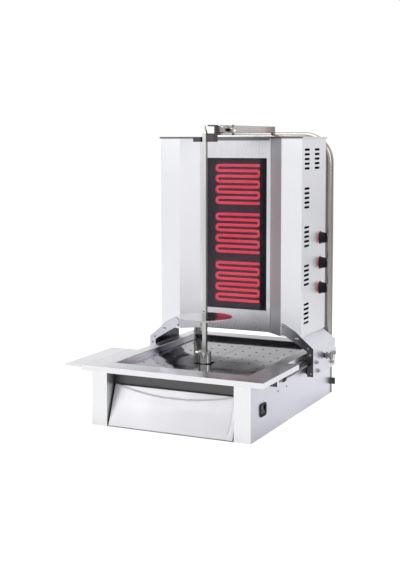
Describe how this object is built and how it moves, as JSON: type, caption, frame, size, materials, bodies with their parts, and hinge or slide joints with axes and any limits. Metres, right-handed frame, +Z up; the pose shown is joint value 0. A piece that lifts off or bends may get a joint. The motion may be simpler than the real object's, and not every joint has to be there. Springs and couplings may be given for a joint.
{
  "type": "vertical kebab grill",
  "caption": "Upright meat grill: a sliding tower of glowing heaters behind a turning spit with a disc, over a box base with a grease tub and drawer.",
  "frame": {"origin": "centre of the base's underside, on the counter", "axes": "+X right and +Y back seen from in front of the grill, +Z up"},
  "size_m": [0.6233, 0.6812, 0.8405],
  "materials": {
    "front_steel": "satin, horizontal grain",
    "side_steel": "satin, light bluish grey",
    "tower_steel": "satin, vertical grain",
    "mirror_steel": "polished",
    "tub_steel": "bright rolled",
    "dull_steel": "mill finish",
    "bracket_steel": "satin",
    "rod_steel": "ground",
    "chrome_plate": "polished",
    "tube_steel": "polished tube, dark reflections",
    "arm_steel": "satin, heat tinted",
    "black_steel": "matt black",
    "black_plastic": "fine grain",
    "rocker_plastic": "gloss black",
    "red_plastic": "gloss red",
    "glass_dark": "smoked ceramic glass",
    "element_glow": "glowing metal sheath",
    "board_grey": "pressed mineral board",
    "strip_black": "ceramic terminal strip",
    "motor_paint": "grey enamel",
    "gear_alloy": "as cast"
  },
  "bodies": {
    "base": {"base_floor": "dull_steel", "base_side_right": "side_steel", "base_side_left": "side_steel", "base_back": "dull_steel", "front_frame": "front_steel", "top_frame": "front_steel", "side_shelf": "front_steel", "fat_tub": "tub_steel", "drawer_runners": "dull_steel", "guide_rod_right": "chrome_plate", "guide_rod_left": "chrome_plate", "rod_supports": "bracket_steel", "stop_collars": "black_steel", "motor_plate": "dull_steel", "gearbox_housing": "gear_alloy", "motor_can": "motor_paint", "drive_bearing": "dull_steel", "support_tube": "tube_steel", "tube_saddles": "bracket_steel", "top_arm": "arm_steel", "switch_bezel": "black_plastic", "cable_gland": "black_plastic"},
    "tower": {"tower_side_right": "tower_steel", "tower_side_left": "tower_steel", "centre_panel": "tower_steel", "tower_back": "dull_steel", "tower_lid": "front_steel", "ceramic_glass": "glass_dark", "heater_pan": "dull_steel", "insulation_board": "board_grey", "heater_zone_1": "element_glow", "heater_zone_2": "element_glow", "heater_zone_3": "element_glow", "terminal_strip": "strip_black", "bracket_right": "bracket_steel", "bracket_left": "bracket_steel", "slide_blocks": "black_plastic", "dome_nuts": "chrome_plate", "knob_rings": "red_plastic", "regulators": "motor_paint"},
    "drive": {"output_shaft": "rod_steel", "drive_coupling": "mirror_steel", "coupling_screw": "dull_steel"},
    "spit": {"spit_rod": "rod_steel", "meat_disc": "mirror_steel", "disc_pin": "dull_steel"},
    "fork": {"fork_bracket": "black_steel", "fork_block": "black_steel", "fork_bolts": "chrome_plate"},
    "fork_clamp": {"wing_screw": "chrome_plate", "wing_stud": "rod_steel"},
    "carriage_clamp": {"clamp_knob": "mirror_steel"},
    "drawer": {"drawer_front": "front_steel", "drawer_box": "dull_steel"},
    "tray_right_half": {"tray_right": "mirror_steel"},
    "tray_left_half": {"tray_left": "mirror_steel"},
    "upper_heat_knob": {"heat_knob_1": "black_plastic"},
    "middle_heat_knob": {"heat_knob_2": "black_plastic"},
    "lower_heat_knob": {"heat_knob_3": "black_plastic"},
    "rocker": {"switch_rocker": "rocker_plastic"}
  },
  "joints": [
    {"name": "tower_slide", "type": "slide", "parent": "base", "child": "tower", "axis": [0, -1, 0], "range_m": [0, 0.11]},
    {"name": "drive_spin", "type": "hinge", "parent": "base", "child": "drive", "pos_m": [0, -0.092, 0], "axis": [0, 0, 1], "continuous": true},
    {"name": "spit_lift", "type": "slide", "parent": "drive", "child": "spit", "axis": [0, 0, 1], "range_m": [0, 0.05]},
    {"name": "fork_slide", "type": "slide", "parent": "base", "child": "fork", "axis": [0, 1, 0], "range_m": [0, 0.04]},
    {"name": "fork_clamp_turn", "type": "hinge", "parent": "fork", "child": "fork_clamp", "pos_m": [0.04, -0.006, 0.8245], "axis": [1, 0, 0], "range_deg": [0, 270]},
    {"name": "carriage_clamp_turn", "type": "hinge", "parent": "tower", "child": "carriage_clamp", "pos_m": [0.28, 0.181, 0.149], "axis": [1, 0, 0], "range_deg": [0, 270]},
    {"name": "drawer_slide", "type": "slide", "parent": "base", "child": "drawer", "axis": [0, -1, 0], "range_m": [0, 0.12]},
    {"name": "tray_right_lift", "type": "slide", "parent": "base", "child": "tray_right_half", "axis": [0, 0, 1], "range_m": [0, 0.02]},
    {"name": "tray_left_lift", "type": "slide", "parent": "base", "child": "tray_left_half", "axis": [0, 0, 1], "range_m": [0, 0.02]},
    {"name": "upper_knob_turn", "type": "hinge", "parent": "tower", "child": "upper_heat_knob", "pos_m": [0.231, 0.248, 0.498], "axis": [-1, 0, 0], "range_deg": [0, 270]},
    {"name": "middle_knob_turn", "type": "hinge", "parent": "tower", "child": "middle_heat_knob", "pos_m": [0.231, 0.248, 0.421], "axis": [-1, 0, 0], "range_deg": [0, 270]},
    {"name": "lower_knob_turn", "type": "hinge", "parent": "tower", "child": "lower_heat_knob", "pos_m": [0.231, 0.248, 0.344], "axis": [-1, 0, 0], "range_deg": [0, 270]},
    {"name": "rocker_tilt", "type": "hinge", "parent": "base", "child": "rocker", "pos_m": [0.235, -0.24, 0.074], "axis": [0, 1, 0], "range_deg": [0, 16]}
  ]
}
